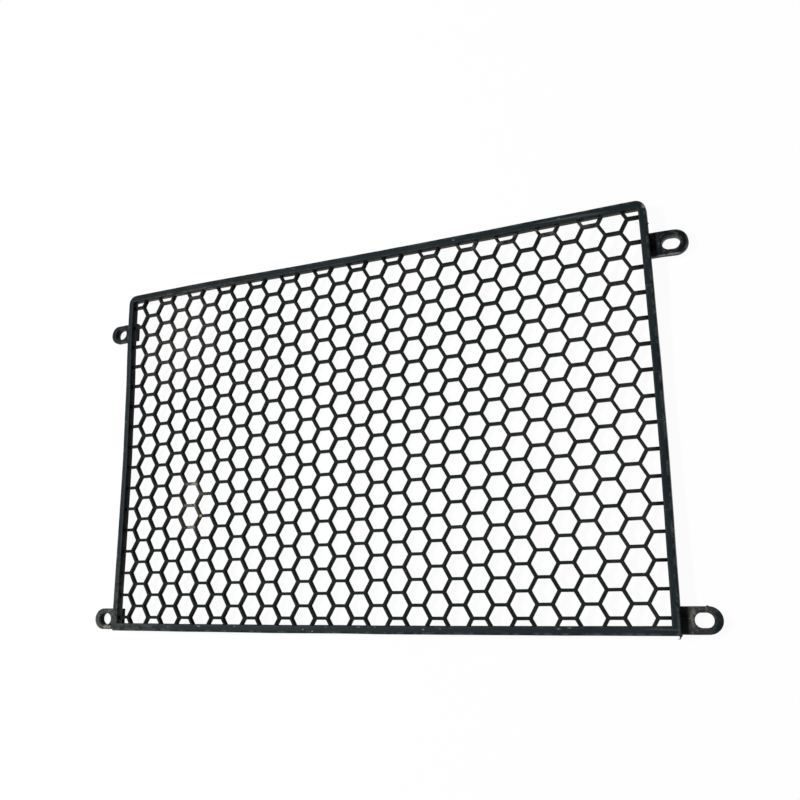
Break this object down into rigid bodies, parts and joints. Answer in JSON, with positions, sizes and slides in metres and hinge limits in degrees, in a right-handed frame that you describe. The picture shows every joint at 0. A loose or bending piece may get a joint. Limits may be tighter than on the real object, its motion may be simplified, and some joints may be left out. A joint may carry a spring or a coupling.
{
  "type": "radiator screen",
  "caption": "Rectangular moulded screen with raised edge rails, a honeycomb mesh and slotted lugs at the sides for bolting in front of a radiator.",
  "frame": {"origin": "centre of the outline, on the plane of the collar ends behind the lugs", "axes": "+X along the long side to the right as seen from the front, +Y up the short side to the rail with the round corners, +Z out of the front of the rails"},
  "size_m": [0.3572, 0.2074, 0.0092],
  "materials": {
    "black_plastic": "satin black moulded plastic, lightly dusty and chafed"
  },
  "bodies": {
    "root": {"radiator_screen": "black_plastic"}
  },
  "joints": []
}
